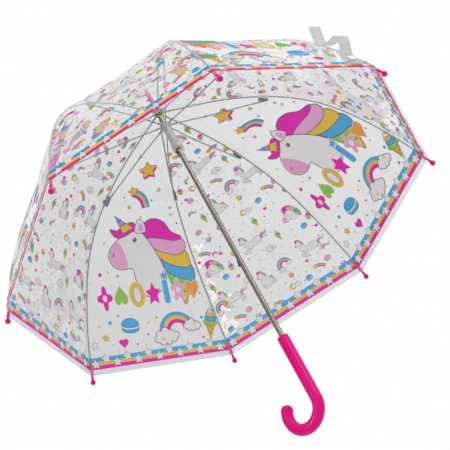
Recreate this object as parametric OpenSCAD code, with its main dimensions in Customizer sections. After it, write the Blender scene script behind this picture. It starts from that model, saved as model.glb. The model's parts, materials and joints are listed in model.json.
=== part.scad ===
// Children's dome umbrella with a clear printed canopy.
// Millimetres. The shaft runs along Z, crown up, and the origin is the middle of the straight grip.

/* [Canopy] */

// height of the rib pivots above the middle of the grip
crown_height = 524; // [480:560]

// rib wire diameter
rib_wire = 2.2; // [2.0:0.1:2.4]

// thickness of the film solid
film = 0.6; // [0.4:0.1:0.8]

// clear width between neighbouring film panels
seam_gap = 0.6; // [0.4:0.1:1.0]

// ball at the end of each rib, diameter
tip_ball = 8.5; // [7:0.5:10]

/* [Stretchers and runner] */

// stretcher wire diameter
stretcher_wire = 2.0; // [1.8:0.1:2.4]

// stretcher ring below the rib pivots, open
ring_drop = 30; // [26:34]

// runner flange diameter
runner_flange = 19; // [18:22]

/* [Shaft and handle] */

// shaft outside diameter
shaft_d = 8; // [7.6:0.1:8.2]

// shaft wall
shaft_wall = 0.6; // [0.5:0.1:0.8]

// grip diameter
grip_d = 17.5; // [16:0.5:20]

// length of the straight grip
grip_length = 108; // [95:120]

// crook centreline radius
crook_radius = 28; // [24:32]

// how far the crook turns, degrees
crook_turn = 212; // [190:225]

// ferrule pin diameter
ferrule_d = 8.4; // [8:0.2:10]

/* [Hidden] */
$fn = 48;
RIBS = 8;
STEP = 360 / RIBS;
HALF = STEP / 2;
CH = cos(HALF);
ZC = crown_height;
RC = 5;                       // rib pivot radius
RR = 7;                       // stretcher pivot radius
RS = shaft_d / 2;
A0 = 8.7;                     // slope of the rib where it leaves the crown
// rib curve: [length, turn in degrees] of each stretch, from the pivot outward
SEG = [[64, 0], [110, 15.9], [138, 32.3], [166.5, 15.3]];
SJ = 174;                     // rib joint, measured along the curve
SEND = 478.5;                 // middle of the tip ball, measured along the curve
SHEM = 467;                   // film edge
PIN_DROP = 5.5;               // stretcher pin under the rib's centreline

// A point of a stretch of the rib curve t along it, from point p and slope a (x out, y up).
function along(p, a, len, turn, t) = turn == 0
    ? p + t * [cos(a), -sin(a)]
    : let (R = len / (turn * PI / 180), b = a + turn * t / len)
      p + R * [sin(b) - sin(a), cos(b) - cos(a)];
function start(i) = i == 0 ? [RC, 0] : along(start(i - 1), slope0(i - 1), SEG[i - 1][0], SEG[i - 1][1], SEG[i - 1][0]);
function slope0(i) = i == 0 ? A0 : slope0(i - 1) + SEG[i - 1][1];
function len0(i) = i == 0 ? 0 : len0(i - 1) + SEG[i - 1][0];
function which(s) = s <= len0(1) ? 0 : s <= len0(2) ? 1 : s <= len0(3) ? 2 : 3;
// The rib's centreline and its slope s mm along it.
function curve(s) = let (i = which(s)) along(start(i), slope0(i), SEG[i][0], SEG[i][1], s - len0(i));
function slope(s) = let (i = which(s)) slope0(i) + SEG[i][1] * (s - len0(i)) / SEG[i][0];
// The panel's own profile: the same curve seen in the middle plane between two ribs, moved out by h.
function skin(s, h) = let (p = curve(s), a = slope(s), n = [sin(a), CH * cos(a)])
    [p[0] * CH, p[1]] + h * n / norm(n);
J = curve(SJ);
P = J + PIN_DROP * [-sin(slope(SJ)), -cos(slope(SJ))];

module at(a) { translate([0, 0, ZC]) rotate([0, 0, a]) children(); }
// Places a piece drawn along +X at distance s on the rib, turned to the rib's slope.
module on_rib(s) { p = curve(s); translate([p[0], 0, p[1]]) rotate([0, slope(s), 0]) children(); }
module pin_y(r, h) { rotate([90, 0, 0]) cylinder(r = r, h = h, center = true); }
module eye(r, bore, h) { difference() { pin_y(r, h); pin_y(bore, h + 2); } }
// The wire between s0 and s1, which lie on stretch i.
module wire(i, s0, s1, r) {
    if (SEG[i][1] == 0) on_rib(s0) rotate([0, 90, 0]) cylinder(r = r, h = s1 - s0);
    else {
        R = SEG[i][0] / (SEG[i][1] * PI / 180);
        c = start(i) - R * [sin(slope0(i)), cos(slope0(i))];
        a1 = slope0(i) + SEG[i][1] * (s0 - len0(i)) / SEG[i][0];
        a2 = slope0(i) + SEG[i][1] * (s1 - len0(i)) / SEG[i][0];
        translate([c[0], 0, c[1]]) rotate([90, 0, 0]) rotate([0, 0, 90 - a2])
            rotate_extrude(angle = a2 - a1) translate([R, 0]) circle(r = r, $fn = 24);
    }
}
// A crimped ring where the film is tied to the rib.
module collar(s) { on_rib(s) translate([-2, 0, 0]) rotate([0, 90, 0]) cylinder(r = rib_wire / 2 + 0.2, h = 4); }
// A flat plate in the rib's plane between [x0,x1] and [z0,z1], t thick.
module plate(x0, x1, z0, z1, t) { translate([x0, -t / 2, z0]) cube([x1 - x0, t, z1 - z0]); }

// ---- shaft assembly
module catch_slot(z0, z1) { translate([0, -1.1, z0]) cube([10, 2.2, z1 - z0]); }
module shaft_tube() color("silver") difference() {
    translate([0, 0, 20]) cylinder(r = RS, h = ZC - 2.4 - 20);
    translate([0, 0, 19]) cylinder(r = RS - shaft_wall, h = ZC - 18);
    rotate([0, 0, HALF]) { catch_slot(ZC - 112, ZC - 84.5); catch_slot(ZC - 332.5, ZC - 305); }
}
module handle() color("mediumvioletred") {
    h = grip_length / 2;
    difference() {
        union() {
            translate([0, 0, -h]) cylinder(r = grip_d / 2, h = 2 * h - 2);
            translate([0, 0, h - 2]) cylinder(r1 = grip_d / 2, r2 = grip_d / 2 - 2, h = 2);
        }
        translate([0, 0, 19]) cylinder(r = RS, h = h);
    }
    translate([crook_radius, 0, -h]) rotate([90, 0, 0]) rotate([0, 0, 180])
        rotate_extrude(angle = crook_turn) translate([crook_radius, 0]) circle(r = grip_d / 2);
    translate([crook_radius, 0, -h]) rotate([0, 180 - crook_turn, 0]) translate([crook_radius, 0, 0])
        rotate([-90, 0, 0]) rotate([90, 0, 0]) crook_end();
}
// The rounded end of the crook, with a shallow bead where it starts.
module crook_end() rotate_extrude() {
    r = grip_d / 2;
    polygon(concat([[0, -1]], [[r + 0.3, -1], [r + 0.3, 1]], [for (a = [0:6:90]) [r * cos(a), 1 + (r - 1) * sin(a)]]));
}
module crown_notch() color("darkkhaki") difference() {
    at(0) translate([0, 0, -5]) cylinder(r = 6.6, h = 7.4);
    translate([0, 0, ZC - 20]) cylinder(r = RS, h = 40);
    for (k = [0:RIBS - 1]) at(k * STEP) {
        translate([2.9, -1.05, -6]) cube([8, 2.1, 8]);
    }
    at(0) rotate_extrude() translate([RC, 0]) circle(r = 0.5);
}
module crown_wire() color("gray") at(0) rotate_extrude() translate([RC, 0]) circle(r = 0.5);
module crown_washer() color("white") at(0) difference() {
    translate([0, 0, 2.4]) cylinder(r = 11, h = 1.2);
    cylinder(r = RS, h = 20);
}
module ferrule() color("mediumvioletred") at(0) union() {
    translate([0, 0, -12]) cylinder(r = RS - shaft_wall - 0.1, h = 20);
    translate([0, 0, 3.6]) cylinder(r1 = 8, r2 = 6.5, h = 5);
    translate([0, 0, 8.6]) cylinder(r1 = 5.4, r2 = ferrule_d / 2, h = 11);
    translate([0, 0, 19.6]) cylinder(r = ferrule_d / 2, h = 24);
    translate([0, 0, 43.6]) sphere(r = ferrule_d / 2);
}

// ---- runner
module runner_sleeve() color("gainsboro") translate([0, 0, ZC - ring_drop]) difference() {
    union() {
        translate([0, 0, -5]) cylinder(r = 8.7, h = 7.4);
        translate([0, 0, -40]) cylinder(r = 7, h = 35);
        translate([0, 0, -51]) cylinder(r1 = runner_flange / 2, r2 = 7.6, h = 12);
        translate([0, 0, -53]) cylinder(r = runner_flange / 2, h = 2);
    }
    translate([0, 0, -60]) cylinder(r = RS + 0.3, h = 70);
    rotate([0, 0, HALF]) translate([0, -0.95, -60]) cube([6.7, 1.9, 70]);
    for (k = [0:RIBS - 1]) rotate([0, 0, k * STEP]) translate([5.2, -1.05, -2.2]) cube([8, 2.1, 8]);
    rotate_extrude() translate([RR, 0]) circle(r = 0.5);
}
module runner_wire() color("gray") translate([0, 0, ZC - ring_drop])
    rotate_extrude() translate([RR, 0]) circle(r = 0.5);

// ---- spring catches: a flat fin on a cross pin inside the tube
module fin(pts) { rotate([90, 0, 0]) linear_extrude(1.2, center = true) polygon(pts); }
module top_catch() color("dimgray") at(HALF) {
    translate([0, 0, -109]) pin_y(0.9, 5.6);
    fin([[-0.5, -110], [0.8, -110], [2.6, -106], [6.3, -86.5], [6.3, -85], [0.4, -85]]);
}
module bottom_catch() color("dimgray") at(HALF) {
    translate([0, 0, -308]) pin_y(0.9, 5.6);
    fin([[-0.5, -307], [0.8, -307], [2.6, -311], [6.3, -330], [6.3, -331.6], [0.4, -331.6]]);
}

// ---- ribs
module rib_upper(k) color("lightgray") at((k - 1) * STEP) {
    difference() {
        union() {
            translate([RC, 0, 0]) pin_y(1.6, 1.6);
            on_rib(0) plate(0, 15, -1.2, 1.0, 1.6);
        }
        translate([RC, 0, 0]) pin_y(0.75, 4);
    }
    wire(0, 14, 64, rib_wire / 2);
    collar(64);
    wire(1, 64, SJ - 7, rib_wire / 2);
    on_rib(SJ) plate(-13, -3.4, -3.4, 1.0, 2.4);
    on_rib(SJ) translate([0, -1.4, 0]) plate(-14, 3, -PIN_DROP - 1.8, 1.1, 0.8);
    difference() {
        on_rib(SJ) translate([0, 1.4, 0]) plate(-14, 3, -PIN_DROP - 1.8, 1.1, 0.8);
        on_rib(SJ) translate([0, 0, -PIN_DROP]) pin_y(1.2, 8);
    }
    on_rib(SJ) pin_y(0.8, 3.4);
}
module rib_lower(k) color("lightgray") at((k - 1) * STEP) {
    difference() {
        union() {
            on_rib(SJ) pin_y(1.5, 1.5);
            on_rib(SJ) plate(0, 8, -1.1, 1.0, 1.5);
        }
        on_rib(SJ) pin_y(1.0, 4);
    }
    wire(2, SJ + 7, 312, rib_wire / 2);
    collar(312);
    wire(3, 312, SHEM - 8, rib_wire / 2);
}
module tip(k) color("mediumvioletred") at((k - 1) * STEP) on_rib(SHEM) rotate([0, 90, 0]) {
    e = SEND - SHEM;
    rotate_extrude() polygon([[0, -8], [rib_wire / 2 + 0.15, -8], [rib_wire / 2 + 0.15, 0.8], [2, 0.8], [2, e - 6], [3.2, e - 2], [0, e - 2]]);
    translate([0, 0, e]) sphere(r = tip_ball / 2);
}
// The outer part runs STR_Y beside the rib, so it passes the rib as the frame folds.
STR_Y = 2.9;
module stretcher(k) color("lightgray") at((k - 1) * STEP) {
    d = P - [RR, -ring_drop];
    L = norm(d);
    r = stretcher_wire / 2;
    translate([RR, 0, -ring_drop]) rotate([0, -atan2(d[1], d[0]), 0]) {
        difference() {
            union() { pin_y(1.5, 1.5); plate(0, 12, -1.2, 1.2, 1.5); }
            pin_y(0.75, 4);
        }
        translate([10, 0, 0]) rotate([0, 0, atan2(STR_Y, 50)]) rotate([0, 90, 0]) cylinder(r = r, h = norm([50, STR_Y]));
        translate([0, STR_Y, 0]) {
            plate(58, 63, -1.3, 1.3, 2.6);
            translate([61, 0, 0]) rotate([0, 90, 0]) cylinder(r = r, h = L - 82);
            plate(L - 23, L, -1.2, 1.2, 1.5);
            translate([L, 0, 0]) pin_y(1.7, 1.7);
        }
        translate([L, 1.3, 0]) rotate([-90, 0, 0]) cylinder(r = 0.7, h = 1.2);
    }
}

// ---- film panels: a band of the panel's profile, straight across, cut to its gore
module gore(k, s0, s1, n) {
    h = rib_wire / 2 + 0.8;
    lo = [for (i = [0:n]) skin(s0 + (s1 - s0) * i / n, h)];
    hi = [for (i = [n:-1:0]) skin(s0 + (s1 - s0) * i / n, h + film)];
    w = 420;
    at((k - 0.5) * STEP) intersection() {
        rotate([90, 0, 0]) linear_extrude(300, center = true) polygon(concat(lo, hi));
        translate([seam_gap / 2 / sin(HALF), 0, -400]) linear_extrude(500)
            polygon([[0, 0], [w, -w * tan(HALF)], [w, w * tan(HALF)]]);
    }
}
module panel_upper(k) color([0.93, 0.95, 0.97]) gore(k, 7, SJ - 0.2, 7);
module panel_lower(k) color([0.93, 0.95, 0.97]) gore(k, SJ + 0.2, SHEM, 10);

// ---- closure strap on panel 4, beside rib 5, with its press stud: a ribbon that stands off the film
STRAP_S = 420;
STRAP_W = 20;
STRAP = [[32, 0.8], [18, 1.4], [6, 2.2], [-2, 7], [-9, 16], [-17, 23], [-25, 23], [-33, 15], [-44, 4], [-56, -1], [-68, 1], [-80, 9], [-88, 17]];
module on_strap() {
    p = skin(STRAP_S, rib_wire / 2 + 0.8 + film);
    a = atan2(sin(slope(STRAP_S)), CH * cos(slope(STRAP_S)));
    at(3.5 * STEP) translate([p[0], 0, p[1]]) rotate([0, a, 0]) translate([0, 106, 0]) children();
}
module strap() color([0.95, 0.95, 0.97]) on_strap() rotate([90, 0, 0])
    linear_extrude(STRAP_W, center = true)
        polygon(concat(STRAP, [for (i = [len(STRAP) - 1:-1:0]) STRAP[i] + [0, 1]]));
module strap_stud() color("white") on_strap() translate([14, 0, 3.5]) cylinder(r = 5.5, h = 2);

shaft_tube();
handle();
crown_notch();
crown_wire();
crown_washer();
ferrule();
runner_sleeve();
runner_wire();
top_catch();
bottom_catch();
for (k = [1:RIBS]) {
    rib_upper(k);
    rib_lower(k);
    tip(k);
    stretcher(k);
    panel_upper(k);
    panel_lower(k);
}
strap();
strap_stud();
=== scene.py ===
"""Children's clear dome umbrella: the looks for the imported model.

Lengths in the artwork and the film are millimetres, as in the CAD; MM turns them into metres.
The film is one ruled sheet per panel: along the ribs it follows the rib curve (a straight and
three arcs), and across it is straight from rib to rib. The print is a flat drawing in (x, s),
x to the right as seen from inside and s along the rib from its pivot, cut into flat coloured
faces and then laid on that sheet.
"""
import json
import math

import bmesh
import bpy
import numpy as np
from mathutils import Matrix, Vector
from mathutils.geometry import delaunay_2d_cdt

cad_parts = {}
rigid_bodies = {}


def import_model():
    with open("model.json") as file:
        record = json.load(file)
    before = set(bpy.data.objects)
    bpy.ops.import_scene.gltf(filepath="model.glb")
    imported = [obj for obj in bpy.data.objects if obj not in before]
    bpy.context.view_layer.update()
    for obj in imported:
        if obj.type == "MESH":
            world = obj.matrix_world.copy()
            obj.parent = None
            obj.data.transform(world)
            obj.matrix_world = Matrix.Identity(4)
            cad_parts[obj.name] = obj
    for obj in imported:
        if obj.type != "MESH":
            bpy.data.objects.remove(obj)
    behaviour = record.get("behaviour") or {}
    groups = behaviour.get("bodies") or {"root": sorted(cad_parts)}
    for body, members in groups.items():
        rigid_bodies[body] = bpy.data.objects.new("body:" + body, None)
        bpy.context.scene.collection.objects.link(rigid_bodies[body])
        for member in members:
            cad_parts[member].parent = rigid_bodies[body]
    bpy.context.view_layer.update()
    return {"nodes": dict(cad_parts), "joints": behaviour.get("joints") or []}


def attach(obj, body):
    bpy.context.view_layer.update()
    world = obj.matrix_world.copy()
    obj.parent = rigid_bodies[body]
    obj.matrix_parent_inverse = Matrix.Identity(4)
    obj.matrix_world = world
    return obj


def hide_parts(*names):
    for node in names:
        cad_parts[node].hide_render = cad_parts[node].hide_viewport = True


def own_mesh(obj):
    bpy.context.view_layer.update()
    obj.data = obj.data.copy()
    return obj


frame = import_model()
MM = 0.001
JOINTS = {j["name"]: j for j in frame["joints"]}

# ---------------------------------------------------------------- the rib curve
CROWN = JOINTS["rib_1_crown"]["pos_m"][2] / MM
PIVOT_R = JOINTS["rib_1_crown"]["pos_m"][0] / MM
STRETCHES = ((64.0, 0.0), (110.0, 15.9), (138.0, 32.3), (166.5, 15.3))  # length, turn
SLOPE0 = 8.7
JOINT_S = 174.0
HEM_S = 467.0
HALF = math.radians(22.5)
CH, SH = math.cos(HALF), math.sin(HALF)
FILM_H = 1.95       # film's inner side above the rib's middle
FILM_T = 0.4        # film thickness


def rib_curve(s):
    """Radius, height under the pivot (negative down) and slope, s mm along the rib."""
    s = np.asarray(s, float)
    r, z = np.full(s.shape, PIVOT_R), np.zeros(s.shape)
    a = np.full(s.shape, math.radians(SLOPE0))
    done, slope = 0.0, math.radians(SLOPE0)
    for n, (length, turn) in enumerate(STRETCHES):
        last = n == len(STRETCHES) - 1
        t = np.clip(s - done, 0, None if last else length)
        turn = math.radians(turn)
        if turn == 0:
            r, z = r + t * math.cos(slope), z - t * math.sin(slope)
        else:
            big = length / turn
            b = slope + turn * t / length
            r, z = r + big * (np.sin(b) - math.sin(slope)), z + big * (np.cos(b) - math.cos(slope))
            a = a + turn * t / length
        done, slope = done + length, slope + turn
    return r, z, a


def half_width(s):
    """Half the panel's width at s, where it meets the next panel."""
    return rib_curve(s)[0] * SH


def wrinkles(x, s):
    """Height of the film's own waves above the straight sheet: a shallow sag between the ribs,
    short creases that leave the ribs, and folds that fan out from the crown. All of them fade
    out at the ribs and at the line where the panel's two parts meet."""
    w = np.clip(x / half_width(s), -1, 1)
    edge = (1 - w ** 6)
    away = 1 - np.exp(-((s - JOINT_S) / 9.0) ** 2)
    rim = 1 - np.exp(-((HEM_S - s) / 30.0) ** 2)
    sag = -2.4 * (1 - w * w) * np.sin(np.clip((s - 20) / 430, 0, 1) * math.pi)
    crease = 0.55 * np.exp(-(1 - np.abs(w)) * 5.5) * np.sin(s / 6.1 + 5.0 * w)
    fan = 0.6 * np.exp(-s / 95.0) * np.sin(9.0 * w) + 0.35 * np.exp(-s / 160.0) * np.sin(17.0 * w + 1.3)
    long = 0.45 * np.sin(6.0 * w + s / 70.0) * np.sin(s / 41.0)
    return edge * away * (sag * (0.35 + 0.65 * rim) + crease + fan + long * rim)


def film_points(k, x, s, h):
    """Film points of panel k in metres: artwork (x, s), h mm out from the ribs' middle."""
    x, s = np.asarray(x, float), np.asarray(s, float)
    r, z, a = rib_curve(s)
    nx, nz = np.sin(a), CH * np.cos(a)
    m = np.hypot(nx, nz)
    h = h + wrinkles(x, s)
    out = r * CH + h * nx / m
    up = CROWN + z + h * nz / m
    mid = math.radians(45.0 * (k - 0.5))
    across = -x * (r * CH + FILM_H * nx / m) / (r * CH)   # keep the seams shut as the sheet is moved out
    px = out * math.cos(mid) - across * math.sin(mid)
    py = out * math.sin(mid) + across * math.cos(mid)
    return np.stack([px, py, up], -1) * MM


# ---------------------------------------------------------------- materials
def srgb(r, g, b):
    """8-bit display colour to linear."""
    c = np.array([r, g, b]) / 255.0
    c = np.where(c <= 0.04045, c / 12.92, ((c + 0.055) / 1.055) ** 2.4)
    return (float(c[0]), float(c[1]), float(c[2]), 1.0)


def new_material(name):
    """An empty node material: the material, its nodes, its links and its output node."""
    m = bpy.data.materials.new(name)
    m.use_nodes = True
    m.node_tree.nodes.clear()
    out = m.node_tree.nodes.new("ShaderNodeOutputMaterial")
    return m, m.node_tree.nodes, m.node_tree.links, out


def noise(nodes, links, scale, detail=3.0, stretch=(1, 1, 1)):
    """Object-space noise, stretched."""
    tex = nodes.new("ShaderNodeTexCoord")
    mp = nodes.new("ShaderNodeMapping")
    mp.inputs["Scale"].default_value = stretch
    n = nodes.new("ShaderNodeTexNoise")
    n.inputs["Scale"].default_value = scale
    n.inputs["Detail"].default_value = detail
    links.new(tex.outputs["Object"], mp.inputs["Vector"])
    links.new(mp.outputs["Vector"], n.inputs["Vector"])
    return n


def solid(name, rgb, rough=0.4, metallic=0.0, coat=0.0, vary=0.06, bump=0.0, scale=60.0, stretch=(1, 1, 1),
        specular=0.5):
    """An opaque material whose colour and roughness vary a little, with an optional fine bump."""
    m, nodes, links, out = new_material(name)
    p = nodes.new("ShaderNodeBsdfPrincipled")
    p.inputs["Metallic"].default_value = metallic
    p.inputs["Specular IOR Level"].default_value = specular
    p.inputs["Coat Weight"].default_value = coat
    p.inputs["Coat Roughness"].default_value = 0.08
    n = noise(nodes, links, scale, stretch=stretch)
    mix = nodes.new("ShaderNodeMix")
    mix.data_type = "RGBA"
    mix.inputs[6].default_value = tuple(c * (1 - vary) for c in rgb[:3]) + (1,)
    mix.inputs[7].default_value = tuple(min(1, c * (1 + vary)) for c in rgb[:3]) + (1,)
    links.new(n.outputs["Fac"], mix.inputs["Factor"])
    links.new(mix.outputs[2], p.inputs["Base Color"])
    ramp = nodes.new("ShaderNodeMapRange")
    ramp.inputs["To Min"].default_value = max(0.02, rough - 0.05)
    ramp.inputs["To Max"].default_value = rough + 0.05
    links.new(n.outputs["Fac"], ramp.inputs["Value"])
    links.new(ramp.outputs["Result"], p.inputs["Roughness"])
    if bump:
        b = nodes.new("ShaderNodeBump")
        b.inputs["Strength"].default_value = bump
        b.inputs["Distance"].default_value = 0.0004
        links.new(n.outputs["Fac"], b.inputs["Height"])
        links.new(b.outputs["Normal"], p.inputs["Normal"])
    links.new(p.outputs["BSDF"], out.inputs["Surface"])
    return m


def clear_film(name, tint, haze, gloss=0.5, rough=0.03, colour=(0.9, 0.9, 0.9, 1)):
    """Clear flexible film: mostly straight through, a little haze, and gloss by angle."""
    m, nodes, links, out = new_material(name)
    through = nodes.new("ShaderNodeBsdfTransparent")
    through.inputs["Color"].default_value = (tint, tint, tint * 1.004, 1)
    hazy = nodes.new("ShaderNodeBsdfDiffuse")
    hazy.inputs["Color"].default_value = colour
    thin = nodes.new("ShaderNodeBsdfTranslucent")
    thin.inputs["Color"].default_value = colour
    both = nodes.new("ShaderNodeMixShader")
    both.inputs[0].default_value = 0.5
    links.new(hazy.outputs[0], both.inputs[1])
    links.new(thin.outputs[0], both.inputs[2])
    base = nodes.new("ShaderNodeMixShader")
    n = noise(nodes, links, 14.0)
    r = nodes.new("ShaderNodeMapRange")
    r.inputs["To Min"].default_value = haze * 0.6
    r.inputs["To Max"].default_value = haze * 1.4
    links.new(n.outputs["Fac"], r.inputs["Value"])
    links.new(r.outputs["Result"], base.inputs[0])
    links.new(through.outputs[0], base.inputs[1])
    links.new(both.outputs[0], base.inputs[2])
    shine = nodes.new("ShaderNodeBsdfGlossy")
    shine.inputs["Roughness"].default_value = rough
    shine.inputs["Color"].default_value = (1, 1, 1, 1)
    face = nodes.new("ShaderNodeLayerWeight")
    face.inputs["Blend"].default_value = 0.5
    rim = nodes.new("ShaderNodeMath")
    rim.operation = "POWER"
    rim.inputs[1].default_value = 4.0
    links.new(face.outputs["Facing"], rim.inputs[0])
    b = nodes.new("ShaderNodeBump")
    b.inputs["Strength"].default_value = 0.35
    b.inputs["Distance"].default_value = 0.0015
    fine = noise(nodes, links, 26.0, 2.0)
    links.new(fine.outputs["Fac"], b.inputs["Height"])
    links.new(b.outputs["Normal"], shine.inputs["Normal"])
    amount = nodes.new("ShaderNodeMath")
    amount.operation = "MULTIPLY_ADD"
    amount.inputs[1].default_value = gloss
    amount.inputs[2].default_value = 0.04
    links.new(rim.outputs[0], amount.inputs[0])
    top = nodes.new("ShaderNodeMixShader")
    links.new(amount.outputs[0], top.inputs[0])
    links.new(base.outputs[0], top.inputs[1])
    links.new(shine.outputs[0], top.inputs[2])
    links.new(top.outputs[0], out.inputs["Surface"])
    return m


def ink(name, rgb, cover, rough=0.5):
    """Printed ink on film: colour that lets a little light straight through."""
    m, nodes, links, out = new_material(name)
    p = nodes.new("ShaderNodeBsdfPrincipled")
    p.inputs["Roughness"].default_value = rough
    p.inputs["Specular IOR Level"].default_value = 0.15
    n = noise(nodes, links, 240.0, 4.0)
    mix = nodes.new("ShaderNodeMix")
    mix.data_type = "RGBA"
    mix.inputs[6].default_value = tuple(c * 0.94 for c in rgb[:3]) + (1,)
    mix.inputs[7].default_value = tuple(min(1, c * 1.06) for c in rgb[:3]) + (1,)
    links.new(n.outputs["Fac"], mix.inputs["Factor"])
    links.new(mix.outputs[2], p.inputs["Base Color"])
    through = nodes.new("ShaderNodeBsdfTransparent")
    through.inputs["Color"].default_value = (0.97, 0.97, 0.97, 1)
    s = nodes.new("ShaderNodeMixShader")
    s.inputs[0].default_value = cover
    links.new(through.outputs[0], s.inputs[1])
    links.new(p.outputs["BSDF"], s.inputs[2])
    links.new(s.outputs[0], out.inputs["Surface"])
    return m


# inks: seen from inside, through the white under-print, and seen from outside
INKS = {
    "magenta": ((226, 48, 174), (212, 0, 130)),
    "blue": ((84, 172, 222), (0, 148, 210)),
    "yellow": ((226, 190, 82), (226, 178, 0)),
    "green": ((150, 198, 92), (104, 164, 0)),
    "pink": ((226, 168, 208), (232, 140, 194)),
    "orange": ((229, 160, 84), (218, 108, 0)),
    "lilac": ((190, 140, 205), (160, 90, 190)),
    "line": ((84, 84, 90), (62, 62, 70)),
    "white": ((229, 228, 229), (222, 220, 221)),
    "eye": ((112, 112, 116), (90, 90, 95)),
}
NAMES = ["film", "seam", *INKS]
COVER = {"line": 0.95, "white": 0.5, "eye": 0.95}
inner = [clear_film("film_clear", 0.99, 0.03, gloss=0.5), clear_film("film_seam", 0.985, 0.05, gloss=0.6)]
outer = [clear_film("film_clear_out", 0.99, 0.02, gloss=0.6),
        clear_film("film_seam_out", 0.985, 0.04, gloss=0.6)]
for name, (inside, outside) in INKS.items():
    inner.append(ink(f"ink_{name}_in", srgb(*inside), COVER.get(name, 0.93)))
    outer.append(ink(f"ink_{name}_out", srgb(*outside), COVER.get(name, 0.93)))
# where a panel's two parts meet there is nothing to see
joint_edge, edge_nodes, edge_links, edge_out = new_material("film_joint_edge")
edge_links.new(edge_nodes.new("ShaderNodeBsdfTransparent").outputs[0], edge_out.inputs["Surface"])
FILM_SLOTS = inner + outer + [joint_edge]
SEAM_W = 2.2        # clear welded strip beside each rib


# ---------------------------------------------------------------- drawing helpers
def arr(points):
    """Points as an array of floats."""
    return np.array(points, float)


def disc(cx, cy, rx, ry=None, n=16, turn=0.0):
    """An ellipse: n points at even angles, turned about its middle."""
    t = np.linspace(0, 2 * math.pi, n, endpoint=False)
    p = np.stack([rx * np.cos(t), (ry or rx) * np.sin(t)], 1)
    return spin(p, turn) + [cx, cy]


def spin(p, degrees):
    """The points turned about the origin."""
    a = math.radians(degrees)
    return p @ np.array([[math.cos(a), math.sin(a)], [-math.sin(a), math.cos(a)]])


def star(cx, cy, r, turn=0.0, waist=0.5, n=5):
    """A star: 2n points at even angles, at r and at r * waist in turn, the first straight up."""
    t = np.arange(2 * n) * math.pi / n - math.pi / 2
    rr = np.where(np.arange(2 * n) % 2 == 0, r, r * waist)
    return spin(np.stack([rr * np.cos(t), rr * np.sin(t)], 1), turn) + [cx, cy]


def between(a, b, c, d, t):
    """Catmull-Rom: a cubic from b to c, with slopes (c - a) / 2 and (d - b) / 2."""
    return 0.5 * (2 * b + (c - a) * t + (2 * a - 5 * b + 4 * c - d) * t ** 2
                  + (3 * b - a - 3 * c + d) * t ** 3)


def smooth(points, n=5):
    """A closed curve through the points (Catmull-Rom)."""
    p = arr(points)
    a, b, c, d = np.roll(p, 1, 0), p, np.roll(p, -1, 0), np.roll(p, -2, 0)
    t = (np.arange(n) / n)[:, None, None]
    q = between(a, b, c, d, t)
    return q.transpose(1, 0, 2).reshape(-1, 2)


def path(points, n=5):
    """An open curve through the points."""
    p = arr(points)
    p = np.vstack([2 * p[0] - p[1], p, 2 * p[-1] - p[-2]])
    out = []
    for i in range(1, len(p) - 2):
        a, b, c, d = p[i - 1:i + 3]
        for t in np.arange(n) / n:
            out.append(between(a, b, c, d, t))
    out.append(p[-2])
    return arr(out)


def stroke(points, width, taper=False):
    """A ribbon along a line."""
    p = arr(points)
    d = np.gradient(p, axis=0)
    d /= np.maximum(np.linalg.norm(d, axis=1, keepdims=True), 1e-9)
    n = np.stack([-d[:, 1], d[:, 0]], 1)
    w = np.full((len(p), 1), width / 2)
    if taper:
        w = w * np.linspace(1, 0.15, len(p))[:, None]
    return np.vstack([p + n * w, (p - n * w)[::-1]])


def grow(p, by):
    """The outline moved outward."""
    p = arr(p)
    area = 0.5 * np.sum(p[:, 0] * np.roll(p[:, 1], -1) - np.roll(p[:, 0], -1) * p[:, 1])
    e = np.roll(p, -1, 0) - p
    n = np.stack([e[:, 1], -e[:, 0]], 1) * (1 if area > 0 else -1)
    n /= np.maximum(np.linalg.norm(n, axis=1, keepdims=True), 1e-9)
    v = n + np.roll(n, 1, 0)
    v /= np.maximum(np.linalg.norm(v, axis=1, keepdims=True), 0.35)
    return p + v * by


def lined(colour, p, width=0.7):
    """A filled outline with a grey line round it."""
    return [("line", grow(p, width)), (colour, arr(p))]


def heart(cx, cy, r, tall=1.0, turn=0.0):
    """A heart: x is 16 times the sine cubed, y the usual four cosines, scaled so that it is about 2 r wide."""
    t = np.linspace(0, 2 * math.pi, 24, endpoint=False)
    p = np.stack([16 * np.sin(t) ** 3,
            -(13 * np.cos(t) - 5 * np.cos(2 * t) - 2 * np.cos(3 * t) - np.cos(4 * t))], 1) / 17
    return spin(p * [r, r * tall], turn) + [cx, cy]


def flower(cx, cy, r, tall=1.0, petals=5):
    """A flower: a ring whose radius swells once for each petal."""
    t = np.linspace(0, 2 * math.pi, petals * 8, endpoint=False)
    rr = r * (0.74 + 0.26 * np.cos(petals * t))
    return np.stack([rr * np.sin(t), -rr * tall * np.cos(t)], 1) + [cx, cy]


def crescent(cx, cy, r, tall=1.0, turn=0.0):
    """A crescent: a wide arc, closed by a smaller arc whose middle is shifted."""
    t = np.linspace(math.radians(-60), math.radians(240), 20)
    a = np.stack([r * np.cos(t), r * np.sin(t)], 1)
    u = np.linspace(math.radians(236), math.radians(-56), 16)
    b = np.stack([0.70 * r * np.cos(u), 0.70 * r * np.sin(u) - 0.34 * r], 1)
    return spin(np.vstack([a, b]) * [1, tall], turn) + [cx, cy]


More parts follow.
